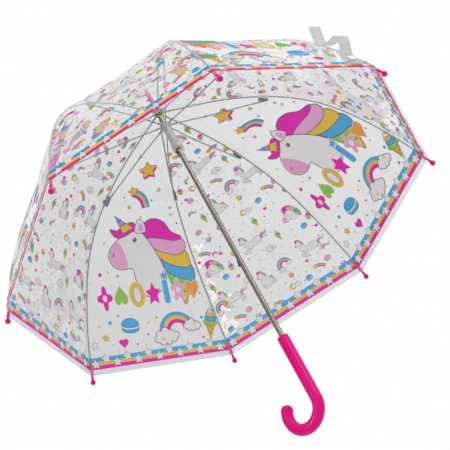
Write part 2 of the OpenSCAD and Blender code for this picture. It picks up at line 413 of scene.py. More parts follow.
def cloud(cx, cy, w, turn=0.0):
    """A cloud w wide: at each angle, the farthest point that a ray from the middle reaches in nine round lobes."""
    lobes = ((-0.37, 0.03, 0.125), (-0.24, -0.13, 0.125), (0.0, -0.2, 0.14), (0.22, -0.1, 0.115),
            (0.38, 0.02, 0.115), (0.26, 0.14, 0.105), (0.03, 0.18, 0.125), (-0.2, 0.17, 0.12), (0, 0, 0.2))
    t = np.linspace(0, 2 * math.pi, 84, endpoint=False)
    ray = np.stack([np.cos(t), np.sin(t)], 1)
    best = np.zeros(len(t))
    for lx, ly, lr in lobes:
        along = ray @ np.array([lx, ly])
        off = np.abs(ray[:, 0] * ly - ray[:, 1] * lx)
        best = np.maximum(best, np.where(off < lr, along + np.sqrt(np.maximum(lr * lr - off * off, 0)), 0))
    return spin(ray * best[:, None] * w, turn) + [cx, cy]


def place(shapes, cx, cy, scale=1.0, turn=0.0, flip=False):
    """Moves a little drawing."""
    f = arr([-1 if flip else 1, 1])
    return [(c, spin(arr(p) * f * scale, turn) + [cx, cy]) for c, p in shapes]


def arc_band(cx, cy, r0, r1, a0, a1, n=14):
    """A band between radii r0 and r1, from angle a0 to a1, angles measured anticlockwise from the right."""
    a = np.radians(np.linspace(a0, a1, n))
    o = np.stack([np.cos(a), -np.sin(a)], 1)
    return np.vstack([o * r1, (o * r0)[::-1]]) + [cx, cy]


# ---------------------------------------------------------------- small drawings, each about 1 = 1 mm
def shooting(width=1.0):
    """A shooting star: a star with three curved bands behind it."""
    bands = [(c, arc_band(0, 24, 22 + 3.2 * i, 25.2 + 3.2 * i, 100, 40)) for i,
            c in enumerate(("magenta", "yellow", "blue"))]
    return bands + lined("yellow", star(-5.5, -3, 7.2, -12), 0.5)


def rainbow():
    """A rainbow: three bands on two clouds."""
    arcs = [(c, arc_band(0, 6, 7 + 3 * i, 10 + 3 * i, 200, -12)) for i,
            c in enumerate(("magenta", "yellow", "blue"))]
    return [("line", arc_band(0, 6, 6.6, 16.4, 201, -13))] + arcs + lined("white", cloud(-10.5, 11, 17),
            0.4) + lined("white", cloud(12, 8.5, 13), 0.4)


def ice_cream():
    """An ice cream: a cone with crossed lines, three scoops and a cherry."""
    cone = lined("yellow", [(-4.6, 2), (4.6, 2), (0, 17)], 0.45)
    net = [("line", stroke([(-3.6, 4.6), (1.4, 12.6)], 0.4)), ("line", stroke([(3.6, 4.6), (-1.4, 12.6)], 0.4)),
            ("line", stroke([(-4, 2.6), (2.6, 8.6)], 0.35))]
    return cone + net + lined("green", disc(0, 1, 6.6, 3.0, 18), 0.4) + lined("blue",
            disc(0.3, -3, 5.4, 2.8, 18), 0.4) + lined("yellow", disc(0, -6.6, 4, 2.4, 16), 0.4) + lined("white",
            disc(0.6, -9.8, 2.6, 2.2, 14), 0.35) + [("magenta", disc(1.2, -10.2, 0.8, n=8))]


def macaron(colour):
    """Two round shells with a filling between them."""
    top = smooth([(-7.6, -0.6), (-6.4, -4.0), (-2.4, -6.0), (2.4, -6.0), (6.4, -4.0), (7.6, -0.6), (4, 1.4),
            (-4, 1.4)], 4)
    low = smooth([(-7.6, 1.4), (-4, 3.0), (4, 3.0), (7.6, 1.4), (6.8, 4.6), (3, 6.2), (-3, 6.2), (-6.8, 4.6)],
            4)
    fill = smooth([(-7.7, 0.2), (-4, 1.8), (4, 1.8), (7.7, 0.2), (7.6, 1.8), (4, 3.4), (-4, 3.4), (-7.6, 1.8)],
            4)
    return lined(colour, low, 0.4) + lined("white", fill, 0.35) + lined(colour, top, 0.4)


def cupcake():
    """A cupcake: a pleated cup and three layers of icing."""
    return lined("yellow", [(-5.4, 1), (5.4, 1), (4, 8), (-4, 8)],
            0.4) + [("line", stroke([(-1.8, 1.4), (-1.4, 7.8)], 0.35)),
            ("line", stroke([(1.8, 1.4), (1.4, 7.8)], 0.35))] \
        + lined("pink", disc(0, 0, 6.6, 3, 16), 0.4) + lined("magenta", disc(0, -3.4, 4.8, 2.6, 16),
                0.4) + lined("pink", disc(0, -6.4, 2.6, 2, 12), 0.35)


def gem():
    """A cut gem, a flat colour for each facet."""
    return [("line", grow([(-6.5, -2), (-3.4, -6), (3.4, -6), (6.5, -2), (0, 7)], 0.45)),
            ("pink", arr([(-6.5, -2), (-3.4, -6), (-1.6, -2)])),
             ("white", arr([(-3.4, -6), (3.4, -6), (0, -2), (-1.6, -2)])),
            ("blue", arr([(3.4, -6), (6.5, -2), (0, -2)])), ("blue", arr([(-6.5, -2), (-2, -2), (0, 7)])),
            ("yellow", arr([(-2, -2), (2, -2), (0, 7)])), ("magenta", arr([(2, -2), (6.5, -2), (0, 7)]))]


def moon():
    """A crescent beside a cloud."""
    return lined("white", cloud(6, 1, 17), 0.4) + lined("yellow", crescent(-7, 0, 6.4, 1.0, 105), 0.4)


def shadow_star(r=6.4, turn=12):
    """A star with a shadow of another colour behind it."""
    return [("magenta", star(1.3, 1.6, r, turn)), ("line", star(0, 0, r + 0.5, turn)),
            ("yellow", star(0, 0, r - 0.2, turn))]


def swirl():
    """A tail of three waves."""
    out = []
    for i, c in enumerate(("yellow", "magenta", "blue")):
        out.append((c, stroke(path([(-9, 3 + 2.2 * i), (-5, -1.8 + 2.2 * i), (1, -1.2 + 2.2 * i),
                (5, 1.0 + 2.2 * i), (10, -1.6 + 1.2 * i)], 4), 2.3, taper=True)))
    return out


def small_head(x=0.0, y=0.0, s=1.0):
    """A pony's head with a short horn, facing left."""
    face = smooth([(-1, -9), (-5, -6), (-9, -1.6), (-13, 1), (-14.6, 5), (-12, 8.4), (-7, 8.2), (-3.6, 6.6),
            (-1, 9), (6, 10), (8, 2), (5, -6)], 3)
    d = lined("white", face, 0.4)
    d += [("pink", smooth([(-9.4, -0.8), (-13, 1.2), (-14.4, 5), (-12, 8.2), (-9, 8), (-8, 4)], 3)),
            ("eye", disc(-4.6, 0, 0.9, n=8))]
    d += lined("yellow", [(-6.2, -6.4), (-3.4, -8.6), (-11, -13.6)],
            0.35) + [("blue", arr([(-11, -13.6), (-8.2, -11.4), (-8.9, -9.6)]))]
    d += [("magenta", smooth([(-9, -5), (-5.4, -9.4), (-1, -10), (-3, -6.6), (-6, -4.6)], 3))]
    mane = (("magenta", (-2, -11, 9.4, 3.6, 14)), ("pink", (3.4, -7.6, 8.4, 3.2, 30)),
            ("yellow", (7.4, -3.4, 7.4, 2.8, 45)), ("blue", (9.4, 1.4, 6.6, 2.7, 55)),
            ("green", (10, 6, 5.8, 2.5, 64)))
    for c, (mx, my, rx, ry, t) in mane:
        d += lined(c, disc(mx + 2.5, my, rx * 0.85, ry, 14, t), 0.3)
    return place(d, x, y, s)


def pony(legs):
    """A running or leaping pony, facing left."""
    d = []
    for x0, y0, x1, y1, x2, y2 in legs:
        leg = path([(x0, y0), (x1, y1), (x2, y2)], 4)
        d += [("line", stroke(leg, 4.3)), ("white", stroke(leg, 3.5)), ("lilac", disc(x2, y2, 1.5, 1.1, 8))]
    d += place(swirl(), 27, -6, 1.0, -18)
    body = smooth([(-15, -7), (-9, -6), (0, -5), (10, -8), (17, -6), (19, 0), (15, 6), (6, 7), (-4, 8),
            (-12, 6), (-16, 0)], 3)
    d += lined("white", body, 0.4)
    d += lined("white", smooth([(-16, -16), (-10, -14), (-8, -6), (-10, 2), (-17, 1), (-19, -8)], 3), 0.4)
    d += [("white", smooth([(-14, -10), (-9, -9), (-7, -2), (-11, 3), (-15, 0)], 3))]
    return d + small_head(-17, -15, 0.62)


GALLOP = ((-12, 5, -19, 9, -15, 14), (-8, 6, -12, 13, -6, 16), (13, 5, 20, 9, 17, 15), (16, 2, 24, 7, 23, 12))
LEAP = ((-12, 5, -22, 7, -24, 12), (-8, 6, -15, 11, -18, 15), (14, 3, 23, 0, 30, 4), (15, 0, 24, -4, 32, -3))


def sitting():
    """A sitting pony, facing left."""
    d = [("line", stroke(path([(4, 8), (14, 13), (20, 10)], 4), 4.4)),
            ("white", stroke(path([(4, 8), (14, 13), (20, 10)], 4), 3.6))]
    d += lined("white", smooth([(-8, -8), (0, -10), (8, -4), (12, 6), (8, 14), (-2, 16), (-10, 12), (-12, 2)],
            3), 0.4)
    d += [("line", stroke(path([(-8, 6), (-10, 13), (-5, 17)], 4), 4.2)),
            ("white", stroke(path([(-8, 6), (-10, 13), (-5, 17)], 4), 3.4))]
    return place(swirl(), 16, 2, 0.85, 60) + d + small_head(-6, -14, 0.68)


# ---------------------------------------------------------------- the two prints
def big_print():
    """The panel with one big pony's head, a row of seven shapes and a few sweets."""
    d = []
    d += [("magenta", star(9.5, 119, 17.5, -14, 0.54)), ("line", star(7, 115, 18, -14, 0.54)),
            ("yellow", star(7, 115, 16.6, -14, 0.54))]
    tail = [(c, arc_band(-21, 190, 25 + 4.6 * i, 29.6 + 4.6 * i, 78, 4, 16)) for i,
            c in enumerate(("magenta", "yellow", "blue"))]
    d += [("line", arc_band(-21, 190, 24.4, 39.4, 79, 3.4, 16))] + tail + lined("yellow",
            star(-15, 155, 9.6, -20), 0.8)
    for x, s, r in ((33, 156, 4.4), (-20, 185, 4.0), (58, 192, 3.0)):
        d += lined("yellow", star(x, s, r, 10), 0.45)
    d += [("blue", disc(22, 176, 2.0, n=10)), ("white", star(50, 178, 3.2)),
            ("magenta", disc(-30, 166, 1.8, n=10))]
    # mane down the neck, back to front
    mane = (("yellow", [(56, 332), (70, 340), (81, 342), (77, 353), (70, 366), (65, 352)]),
            ("green", [(45, 300), (58, 312), (76, 319), (91, 326), (90, 338), (80, 345), (66, 341), (52, 330)]),
            ("blue", [(38, 283), (54, 290), (74, 295), (92, 297), (98, 312), (94, 328), (80, 322), (60, 315),
             (46, 304)]),
            ("yellow", [(24, 262), (46, 270), (70, 274), (86, 273), (92, 286), (91, 300), (72, 299), (52, 292),
             (36, 281)]),
            ("pink", [(8, 240), (28, 240), (52, 243), (74, 246), (86, 257), (84, 272), (68, 277), (46, 272),
             (24, 262), (12, 252)]),
            ("magenta", [(4, 226), (12, 214), (28, 210), (46, 218), (60, 236), (80, 247), (66, 252), (44, 247),
             (22, 243), (8, 242)]))
    for c, p in mane:
        d += lined(c, smooth(p, 5), 1.15)
    face = smooth([(-6, 229), (-24, 233), (-42, 243), (-55, 257), (-59, 272), (-52, 287), (-38, 294),
            (-22, 293), (-17, 296), (-15, 315), (-12, 334),
                   (2, 345), (18, 343), (32, 334), (42, 318), (38, 292), (26, 266), (12, 244), (2, 232)], 4)
    d += lined("white", face, 1.15)
    d += [("pink", smooth([(-42, 246), (-54, 258), (-58, 272), (-51, 286), (-38, 293), (-27, 292), (-27, 278),
            (-33, 260)], 4)),
          ("magenta", disc(-50.5, 268, 1.5, 4.4, 12, 10)), ("eye", disc(-10, 244.5, 4.0)),
           ("white", disc(-11.2, 243.2, 1.1, n=8))]
    # fringe, horn and ear
    d += lined("magenta", smooth([(-54, 223), (-42, 226), (-30, 218), (-14, 213), (-8, 222), (-16, 230),
            (-34, 238), (-46, 236)], 4), 1.05)
    horn = arr([(-31, 231), (-13, 222.5), (-47, 198)])
    d += lined("yellow", horn, 1.05)
    mid = lambda f, g: [horn[0] * (1 - f) + horn[2] * f, horn[1] * (1 - f) + horn[2] * f,
            horn[1] * (1 - g) + horn[2] * g, horn[0] * (1 - g) + horn[2] * g]
    d += [("line", arr(mid(0.34, 0.38))), ("lilac", arr(mid(0.38, 0.60))), ("line", arr(mid(0.60, 0.64))),
            ("blue", arr(mid(0.64, 0.985)))]
    d += lined("white", smooth([(-9, 230), (-6, 214), (0, 208), (8, 217), (11, 230), (2, 233)], 4),
            1.05) + [("pink", smooth([(-3, 229), (0, 215), (6, 222), (7, 230)], 4))]
    # seven chunky shapes in a row
    s = 340
    bar = np.vstack([disc(37, s - 16, 5.2, n=16)[8:], disc(37, s + 16, 5.2, n=16)[:9]])
    tall_star = (star(12, s, 15.5, 0, 0.52) - [12, s]) * [0.95, 1.38] + [12, s + 2]
    row = (("orange", heart(88, s, 13, 1.55)), ("pink", flower(60, s, 13.5, 1.6)), ("blue", bar),
           ("magenta", tall_star), ("yellow", disc(-18, s, 14, 22, 24)),
            ("green", heart(-48, s, 12.5, 1.6, 180)),
           ("magenta", flower(-77, s, 14, 1.55, 4)))
    for c, p in row:
        d += [("white", grow(p, 1.15)), (c, p)]
    d += [("line", disc(-18, s, 7.2, 14.6, 20)), ("white", disc(-18, s, 6.6, 14, 20)),
            ("white", disc(60, s, 4.2, 6.4, 14)), ("white", disc(-77, s, 3.8, 6, 14))]
    d += [("blue", star(37, 312, 8, 8))]
    # sweets, rainbow and dots
    d += place(macaron("blue"), -42, 391, 1.95, 4)
    d += [("line", arc_band(44, 412, 15.4, 34.8, 192, 22, 20))]
    d += [(c, arc_band(44, 412, 16 + 6.1 * i, 22.1 + 6.1 * i, 192, 22, 20)) for i,
            c in enumerate(("magenta", "yellow", "blue"))]
    d += lined("white", cloud(20, 418, 47, -6), 1.05) + lined("white", cloud(72, 404, 34, 4), 1.05)
    d += [("yellow", disc(13, 422, 2.4, n=10)), ("yellow", disc(77, 401, 2.2, n=10))]
    d += place(ice_cream(), 108, 402, 1.95, 12)
    d += lined("magenta", heart(-60, 419, 8.6), 0.5)
    for c, x, y, r in (("magenta", -79, 299, 4.6), ("blue", -48, 304, 3.2), ("blue", -77, 382, 4.4),
            ("yellow", -97, 386, 3.4), ("blue", 9, 383, 2.8),
                       ("magenta", 88, 428, 3.2), ("blue", 93, 393, 4.0), ("yellow", 86, 366, 2.6),
                        ("magenta", -60, 372, 2.4)):
        d += [(c, star(x, y, r, 14, 0.55))]
    for c, x, y in (("yellow", -64, 296), ("yellow", -7, 390), ("magenta", -13, 410), ("blue", -36, 424),
            ("yellow", -21, 428), ("yellow", -79, 420), ("magenta", 100, 440),
                    ("yellow", 2, 205), ("blue", -36, 206), ("magenta", 72, 222), ("yellow", -66, 246),
                     ("blue", 100, 350)):
        d += [(c, disc(x, y, 1.9, n=10))]
    d += lined("yellow", star(-90, 407, 6.6, 8), 0.5) + lined("white", star(-112, 417, 7.4, -6),
            0.5) + [("line", star(60, 205, 3.6)), ("white", star(60, 205, 2.6))]
    return d


def small_print():
    """The panel with many little ponies, sweets and rainbows."""
    d = []
    put = lambda what, x, s, scale=1.0, turn=0.0, flip=False: d.extend(place(what, x, s, scale, turn, flip))
    for x, s, t in ((-22, 105, 6), (69, 253, 8), (72, 418, 6), (-89, 419, 4), (-19, 436, 0), (4, 190, 10),
            (30, 132, -20), (-84, 292, 10)):
        put(shooting(), x, s, 0.66, t)
    for x, s in ((6, 146), (1, 322)):
        put(pony(LEAP), x, s, 0.86, -4)
    for x, s in ((62, 214), (78, 381), (-80, 384)):
        put(pony(GALLOP), x, s, 0.86, 4)
    for x, s in ((-16, 233), (-14, 389)):
        put(sitting(), x, s, 0.82)
    for x, s in ((80, 315), (-82, 322)):
        put(small_head(), x, s, 1.12)
    put(small_head(), -2, 76, 0.8)
    for x, s in ((41, 163), (23, 292), (44, 334), (-46, 236), (20, 66), (-100, 350)):
        put(ice_cream(), x, s, 0.72, -6)
    for x, s in ((23, 212), (25, 380), (-104, 385), (-38, 120)):
        put(rainbow(), x, s, 0.82, -14)
    for x, s in ((18, 174), (22, 347), (-40, 372)):
        put(lined("white", cloud(0, 0, 19), 0.4) + [("magenta", disc(2, 1, 1.3, n=8))], x, s)
    for x, s, t in ((-33, 156, -40), (-57, 216, 10), (-34, 262, -50), (50, 190, 0), (-62, 300, 12),
            (104, 392, 0)):
        put(swirl(), x, s, 0.85, t)
    for x, s in ((-53, 170), (105, 334), (-53, 336), (30, 96)):
        put(cupcake(), x, s, 0.78, 10)
    for c, x, s in (("pink", 89, 250), ("blue", 48, 264), ("blue", 90, 345), ("pink", -68, 254),
            ("pink", 94, 414), ("blue", -70, 346), ("blue", 50, 426), ("pink", -66, 416), ("blue", -110, 428),
            ("blue", 12, 118), ("pink", -48, 196)):
        put(macaron(c), x, s, 0.72, -12)
    for x, s in ((96, 275), (-60, 275), (-58, 436), (-14, 128), (112, 438)):
        put(gem(), x, s, 0.8, 8)
    for x, s in ((23, 241), (26, 405), (-96, 385), (52, 148), (-30, 90), (-38, 318)):
        put(shadow_star(), x, s, 0.86)
    for x, s in ((20, 268), (24, 424), (-28, 178)):
        put(moon(), x, s, 0.8)
    for x, s in ((-53, 190), (50, 283), (108, 356), (-56, 307), (-51, 357), (-18, 206), (8, 92), (-96, 300),
            (62, 400), (-36, 426), (64, 172)):
        d.append(("magenta", heart(x, s, 3.6)))
    # dots and tiny stars between, on a loose lattice that keeps off the drawings
    taken = np.vstack([p[:, :2] for _, p in d if len(p)])
    rng = np.random.default_rng(7)
    colours = ("magenta", "blue", "yellow", "yellow", "pink", "white")
    for s in np.arange(40, 432, 15.0):
        for x in np.arange(-126, 127, 15.0):
            x1, s1 = x + rng.uniform(-3.5, 3.5), s + rng.uniform(-3.5, 3.5)
            pick, kind, turn = colours[rng.integers(6)], rng.random(), rng.uniform(0, 70)
            if np.min(np.hypot(taken[:, 0] - x1, taken[:, 1] - s1)) < 2.6:
                continue
            d.append((pick, disc(x1, s1, 1.0, n=7) if kind < 0.6 else star(x1, s1, 1.9, turn, 0.5)))
    return d


def hem_band():
    """Three stripes with two rows of stars, across the whole panel."""
    d = []
    for c, s0, s1 in (("blue", 437.6, 444.8), ("yellow", 444.8, 451.2), ("magenta", 451.2, 457.6)):
        d.append((c, arr([(-140, s0), (140, s0), (140, s1), (-140, s1)])))
    for i in range(8):
        for row, s in ((0, 441.0), (1, 448.8)):
            x = -137.1 + 38.8 * i + 18.6 * row
            d += lined("white", star(x, s, 8.7, 4 if row else -8, 0.53), 0.6)
    return d


# ---------------------------------------------------------------- cutting a print into faces
def inside(poly, q):
    """Which points q lie in the polygon (even-odd)."""
    a, b = poly, np.roll(poly, -1, 0)
    x, y = q[:, 0][:, None], q[:, 1][:, None]
    cross = (a[:, 1] > y) != (b[:, 1] > y)
    dy = np.where(b[:, 1] == a[:, 1], 1e-12, b[:, 1] - a[:, 1])
    xc = a[:, 0] + (y - a[:, 1]) * (b[:, 0] - a[:, 0]) / dy
    return (np.sum(cross & (x < xc), axis=1) % 2) == 1


def cut(shapes):
    """Flat faces of one panel: points (x, s), triangles, and each triangle's place in NAMES."""
    pts, edges = [], []

    def line(p, closed):
        """Adds a line of points and its edges to the cut."""
        n = len(pts)
        pts.extend(Vector((float(a), float(b))) for a, b in p)
        edges.extend((n + i, n + i + 1) for i in range(len(p) - 1))
        if closed:
            edges.append((n + len(p) - 1, n))

    s_edge = np.linspace(9, HEM_S - 0.3, 60)
    w_edge = half_width(s_edge) - 0.05
    rim = np.vstack([np.stack([-w_edge, s_edge], 1), np.stack([w_edge, s_edge], 1)[::-1]])
    line(rim, True)
    for s in [*np.arange(20, JOINT_S - 4, 11.0), JOINT_S, *np.arange(JOINT_S + 10, HEM_S - 3, 11.0),
            HEM_S - 1.6]:
        w = float(half_width(s)) - 0.06
        n = max(3, int(w / 6))
        line(np.stack([np.linspace(-w, w, 2 * n + 1), np.full(2 * n + 1, s)], 1), False)
    for side in (-1, 1):                                      # welded seam allowance along each rib
        line(np.stack([side * (w_edge - np.minimum(SEAM_W, w_edge * 0.3)), s_edge], 1), False)
    kept = []
    for c, p in shapes:
        w = half_width(np.clip(p[:, 1], 9, HEM_S)) - 0.4
        q = np.stack([np.clip(p[:, 0], -w, w), np.clip(p[:, 1], 9.5, HEM_S - 2)], 1)
        if np.ptp(q[:, 0]) < 0.3 or np.ptp(q[:, 1]) < 0.3:
            continue
        line(q, True)
        kept.append((c, q))
    v, _, f, *_ = delaunay_2d_cdt(pts, edges, [], 0, 1e-4)
    v = np.array([(a.x, a.y) for a in v])
    f = np.array([t for t in f if len(t) == 3])
    mid = v[f].mean(1)
    w = half_width(mid[:, 1])
    ok = (np.abs(mid[:, 0]) < w) & (mid[:, 1] > 8.9) & (mid[:, 1] < HEM_S)
    a, b, c = v[f[:, 0]], v[f[:, 1]], v[f[:, 2]]
    area = 0.5 * ((b[:, 0] - a[:, 0]) * (c[:, 1] - a[:, 1]) - (b[:, 1] - a[:, 1]) * (c[:, 0] - a[:, 0]))
    ok &= np.abs(area) > 1e-7
    f, mid, w, area = f[ok], mid[ok], w[ok], area[ok]
    f[area < 0] = f[area < 0][:, ::-1]
    colour = np.zeros(len(f), int)
    colour[(np.abs(mid[:, 0]) > w - np.minimum(SEAM_W, w * 0.3)) | (mid[:, 1] > HEM_S - 1.6)] = 1
    for c, p in kept:
        lo, hi = p.min(0), p.max(0)
        near = np.flatnonzero(np.all((mid >= lo) & (mid <= hi), axis=1))
        if len(near):
            colour[near[inside(p, mid[near])]] = NAMES.index(c)
    return v, f, colour, mid


def film_piece(name, k, v, f, colour):
    """A closed shell of film from flat faces: an inner and an outer side, joined round the edge."""
    used, g = np.unique(f, return_inverse=True)
    g = g.reshape(f.shape)
    x, s = v[used, 0], v[used, 1]
    lower, upper = film_points(k, x, s, FILM_H), film_points(k, x, s, FILM_H + FILM_T)
    n = len(used)
    # x runs to the right seen from inside, so (x, s) faces already turn outward on the outer side
    e = np.concatenate([g[:, [0, 1]], g[:, [1, 2]], g[:, [2, 0]]])
    key = {}
    for i, (a, b) in enumerate(map(tuple, e)):
        key[(a, b)] = i
    rim = [(a, b) for (a, b) in key if (b, a) not in key]
    outward = np.cross(upper[g[0, 1]] - upper[g[0, 0]],
            upper[g[0, 2]] - upper[g[0, 0]]) @ (upper[g[0, 0]] - lower[g[0, 0]]) > 0
    top, bottom = (g + n, g[:, ::-1]) if outward else (g[:, ::-1] + n, g)
    walls = [((a, b, b + n, a + n) if outward else (b, a, a + n, b + n)) for a, b in rim]
    m = bpy.data.meshes.new(name)
    faces = [tuple(map(int, t)) for t in top] + [tuple(map(int, t)) for t in bottom] + [tuple(map(int,
            t)) for t in walls]
    m.from_pydata(np.vstack([lower, upper]).tolist(), [], faces)
    for mat in FILM_SLOTS:
        m.materials.append(mat)
    rim_s = s[np.array(rim)].mean(1)
    at_joint = np.abs(rim_s - JOINT_S) < 0.2
    index = np.concatenate([colour + len(NAMES), colour,
            np.where(at_joint, 2 * len(NAMES), 1)]).astype(np.int32)
    m.polygons.foreach_set("material_index", index)
    smooth_on = np.ones(len(faces), bool)
    smooth_on[-len(walls):] = False
    m.polygons.foreach_set("use_smooth", smooth_on)
    uv = m.uv_layers.new(name="flat")
    xs = np.concatenate([x, x])[np.concatenate([np.array(t) for t in faces])]
    ss = np.concatenate([s, s])[np.concatenate([np.array(t) for t in faces])]
    uv.data.foreach_set("uv", np.stack([xs / 270 + 0.5, ss / 480], 1).astype(np.float32).ravel())
    m.update()
    o = bpy.data.objects.new(name, m)
    bpy.context.scene.collection.objects.link(o)
    a, b, c = (lower[g[:, i]] for i in range(3))
    return o, float(0.5 * np.linalg.norm(np.cross(b - a, c - a), axis=1).sum())


def build_film():
    """Both parts of all eight film panels, the large print on the even ones."""
    prints = {0: cut(big_print() + hem_band()), 1: cut(small_print() + hem_band())}
    for k in range(1, 9):
        v, f, colour, mid = prints[k % 2]
        for part, pick, s0, s1 in (("upper", mid[:, 1] < JOINT_S, 9.0, JOINT_S),
                ("lower", mid[:, 1] >= JOINT_S, JOINT_S, HEM_S)):
            o, area = film_piece(f"film_{k}_{part}", k, v, f[pick], colour[pick])
            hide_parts(f"panel_{k}_{part}")
            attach(o, f"panel_{k}_{part}")
            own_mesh(o)


build_film()


# ---------------------------------------------------------------- corner tabs and strap
TAB_S0, TAB_S1 = 447, 466       # along the rib
TAB_R, TAB_T, TAB_FLARE = 2.5, 0.5, 0.35
STRAP_PANEL, STRAP_S = 4, 420.0     # where the strap is welded on: the panel, and how far along it
STRAP_SIDE = 106                # off the panel's middle
STRAP_BASE = 1.9 + 0.6          # the film's outer side above the rib's middle
STRAP_WIDTH, STRAP_T = 20, 0.6
STUD_AT = 14                    # down the strap from its root
# the strap's line: down the panel, and out from it
STRAP_LINE = ((32, 0.8), (18, 1.4), (6, 2.2), (-2, 7), (-9, 16), (-17, 23), (-25, 23), (-33, 15), (-44, 4),
              (-56, -1), (-68, 1), (-80, 9), (-88, 17))
strap_film = clear_film("strap_film", 0.93, 0.45, gloss=0.5, rough=0.12, colour=srgb(214, 214, 212))
stud_white = solid("stud_white", srgb(238, 238, 238), rough=0.3, vary=0.02)


def capped_faces(n, m):
    """Faces of n rings of m points each: a quad between each two neighbours, and a flat cap at both ends."""
    i, j = np.meshgrid(np.arange(n - 1), np.arange(m), indexing="ij")
    corners = (i * m + j, i * m + (j + 1) % m, (i + 1) * m + (j + 1) % m, (i + 1) * m + j)
    quads = np.stack(corners, -1).reshape(-1, 4).tolist()
    return quads + [list(range(m))[::-1], list(range((n - 1) * m, n * m))]


def swept(name, points, rings, material, shade_smooth=False):
    """An object from rings of points in metres, capped, with its faces turned outward."""
    me = bpy.data.meshes.new(name)
    me.from_pydata(points.tolist(), [], capped_faces(rings, len(points) // rings))
    bm = bmesh.new()
    bm.from_mesh(me)
    bmesh.ops.recalc_face_normals(bm, faces=bm.faces)
    bm.to_mesh(me)
    bm.free()
    if shade_smooth:
        me.polygons.foreach_set("use_smooth", np.ones(len(me.polygons), bool))
    me.materials.append(material)
    o = bpy.data.objects.new(name, me)
    bpy.context.scene.collection.objects.link(o)
    return o


def tab(k):
    """A folded strip under each rib's end: a half pipe swept along the rib, closed, 0.5 mm thick."""
    ss = np.linspace(TAB_S0, TAB_S1, 9)
    r, z, a = rib_curve(ss)
    t = np.linspace(math.radians(188), math.radians(352), 11)
    turn = np.stack([np.cos(t), np.sin(t)], 1)
    ring = np.vstack([TAB_R * turn, ((TAB_R - TAB_T) * turn)[::-1]])
    side, up = ring[:, 0], ring[:, 1]
    grow_end = (1 + TAB_FLARE * (ss - TAB_S0) / (TAB_S1 - TAB_S0))[:, None]
    px = r[:, None] + grow_end * up * np.sin(a)[:, None]
    pz = CROWN + z[:, None] + grow_end * up * np.cos(a)[:, None]
    py = grow_end * side * np.ones_like(px)
    q = math.radians(45.0 * (k - 1))
    pts = np.stack([px * math.cos(q) - py * math.sin(q), px * math.sin(q) + py * math.cos(q), pz],
            -1).reshape(-1, 3) * MM
    o = swept(f"corner_tab_{k}", pts, len(ss), tab_pink)
    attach(o, f"rib_{k}_lower")


def ribbon_points(centre, across, out, half_w, thick):
    """A thin rectangle carried along centre points: seven points on the upper side and seven under them."""
    rows = np.linspace(-1, 1, 7)
    top = centre[:, None] + across[:, None] * (half_w * rows)[None, :, None] + out[:, None] * (thick / 2)
    low = top - out[:, None] * thick
    return np.concatenate([top, low[:, ::-1]], axis=1).reshape(-1, 3)


def strap():
    """The closing strap: a ribbon through the CAD strap's points, smoothed, and its press stud, a turned button."""
    r, z, a = (float(v) for v in rib_curve(STRAP_S))
    lean = math.atan2(math.sin(a), CH * math.cos(a))
    mid = math.radians(45 * (STRAP_PANEL - 0.5))
    down = np.array([math.cos(lean) * math.cos(mid), math.cos(lean) * math.sin(mid), -math.sin(lean)])
    out = np.array([math.sin(lean) * math.cos(mid), math.sin(lean) * math.sin(mid), math.cos(lean)])
    side = np.array([-math.sin(mid), math.cos(mid), 0.0])
    flat = np.array([math.sin(a), CH * math.cos(a)])
    flat /= np.hypot(*flat)
    rr, zz = r * CH + STRAP_BASE * flat[0], CROWN + z + STRAP_BASE * flat[1]
    base = np.array([rr * math.cos(mid), rr * math.sin(mid), zz]) + side * STRAP_SIDE
    line = path(STRAP_LINE, 6) + [0, 0.5]
    d = np.gradient(line, axis=0)
    d /= np.linalg.norm(d, axis=1, keepdims=True)
    centre = base + line[:, :1] * down + line[:, 1:] * out
    normal = -d[:, 1:] * down + d[:, :1] * out
    normal *= np.sign((normal @ out)[:, None] + 1e-9)
    across = np.repeat(side[None], len(line), 0)
    points = ribbon_points(centre * MM, across, normal, STRAP_WIDTH / 2 * MM, STRAP_T * MM)
    band = swept("strap_band", points, len(line), strap_film, shade_smooth=True)
    t = np.linspace(0, 2 * math.pi, 28, endpoint=False)
    profile = np.array([(5.5, 3.5), (5.5, 4.6), (5.0, 5.3), (3.6, 5.5), (3.2, 5.0), (0.6, 5.0)])
    radius, height = profile[:, 0, None], profile[:, 1, None, None]
    turned = (radius * np.cos(t))[..., None] * down + (radius * np.sin(t))[..., None] * side
    pts = base + STUD_AT * down + turned + height * out
    button = swept("strap_button", pts.reshape(-1, 3) * MM, len(profile), stud_white)
    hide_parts("strap")
    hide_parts("strap_stud")
    for o in (band, button):
        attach(o, "panel_4_lower")
        0.1 * math.cos(mid)
        0.1 * math.sin(mid)
        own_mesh(o)


strap()

tab_pink = clear_film("tab_pink", 0.9, 0.75, gloss=0.4, rough=0.2, colour=srgb(238, 130, 190))
for rib in range(1, 9):
    tab(rib)

# ---------------------------------------------------------------- the CAD pieces' own materials
MAGENTA = srgb(214, 0, 118)
plastic = solid("magenta_gloss", MAGENTA, rough=0.20, vary=0.02, scale=12, specular=0.16)
steel = solid("shaft_plated", srgb(146, 140, 134), rough=0.26, metallic=1.0, vary=0.05, scale=90,
        stretch=(1, 1, 0.03), bump=0.05)
wire = solid("rib_wire", srgb(142, 142, 144), rough=0.42, metallic=0.35, vary=0.05, scale=120)
tie = solid("tie_wire", srgb(120, 120, 120), rough=0.4, metallic=0.9)
spring = solid("catch_steel", srgb(46, 44, 44), rough=0.4, metallic=0.6)
nylon = clear_film("runner_nylon", 0.85, 0.8, gloss=0.5, rough=0.2, colour=srgb(222, 222, 222))
olive = clear_film("collar_nylon", 0.80, 0.75, gloss=0.5, rough=0.2, colour=srgb(205, 200, 130))
washer = clear_film("washer_clear", 0.9, 0.3, gloss=0.8)


